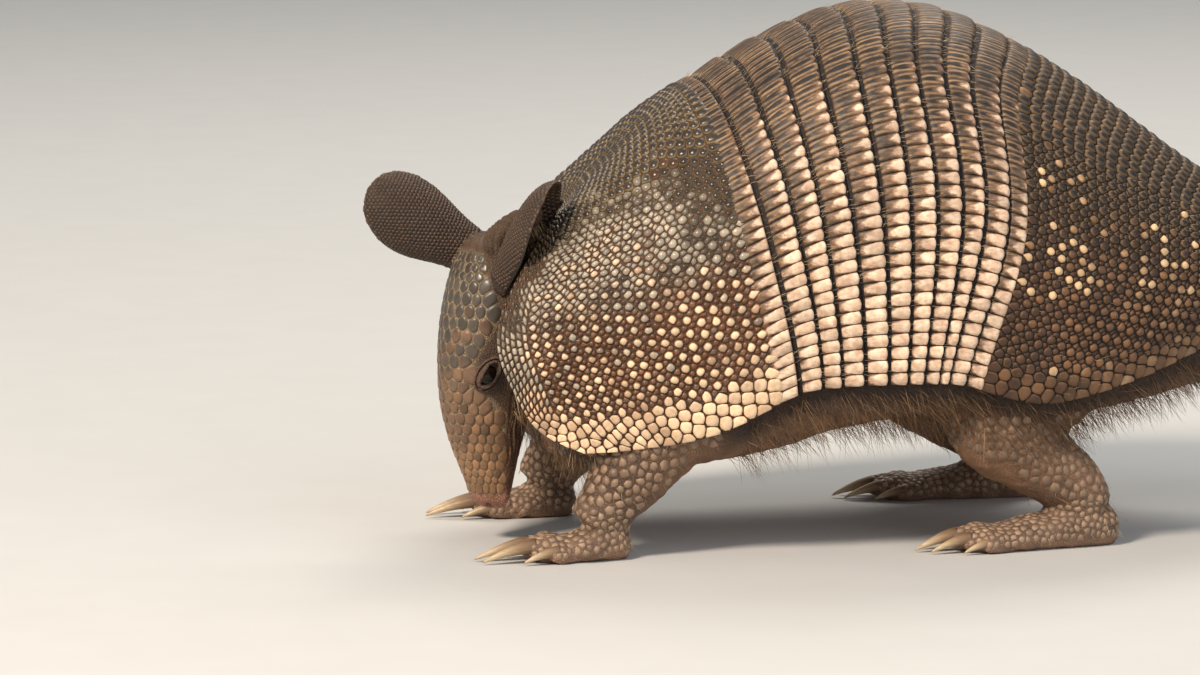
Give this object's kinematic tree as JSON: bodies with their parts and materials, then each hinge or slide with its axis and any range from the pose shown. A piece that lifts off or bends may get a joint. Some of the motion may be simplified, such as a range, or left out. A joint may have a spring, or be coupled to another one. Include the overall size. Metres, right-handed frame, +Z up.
{
  "type": "armadillo",
  "caption": "Life-size still model of a nine-banded armadillo standing with its nose to the ground, with banded shell, long ears, clawed feet and ringed tail.",
  "frame": {"origin": "centre of the bounding box seen from above, at the level of the soles", "axes": "+X runs from the head to the tail, +Z is up, and +Y is the animal's right side"},
  "size_m": [0.6762, 0.1654, 0.1973],
  "materials": {
    "shell": "horny scutes with a low sheen",
    "skin": "matt leathery skin with small scales and sparse hair",
    "ear": "matt pebbled skin",
    "eye": "glossy dark",
    "claw": "horn with a low sheen"
  },
  "bodies": {
    "root": {"scapular_shield": "shell", "band_1": "shell", "band_2": "shell", "band_3": "shell", "band_4": "shell", "band_5": "shell", "band_6": "shell", "band_7": "shell", "band_8": "shell", "band_9": "shell", "pelvic_shield": "shell", "trunk": "skin", "neck": "skin", "ear_right": "ear", "eye_right": "eye", "ear_left": "ear", "eye_left": "eye", "head": "skin", "foreleg_left": "skin", "forefoot_left": "skin", "fore_left_claw_1": "claw", "fore_left_claw_2": "claw", "fore_left_claw_3": "claw", "fore_left_claw_4": "claw", "foreleg_right": "skin", "forefoot_right": "skin", "fore_right_claw_1": "claw", "fore_right_claw_2": "claw", "fore_right_claw_3": "claw", "fore_right_claw_4": "claw", "hindleg_left": "skin", "hindfoot_left": "skin", "hind_left_claw_1": "claw", "hind_left_claw_2": "claw", "hind_left_claw_3": "claw", "hind_left_claw_4": "claw", "hind_left_claw_5": "claw", "hindleg_right": "skin", "hindfoot_right": "skin", "hind_right_claw_1": "claw", "hind_right_claw_2": "claw", "hind_right_claw_3": "claw", "hind_right_claw_4": "claw", "hind_right_claw_5": "claw", "tail_1": "skin", "tail_2": "skin", "tail_3": "skin", "tail_tip": "skin"}
  },
  "joints": []
}
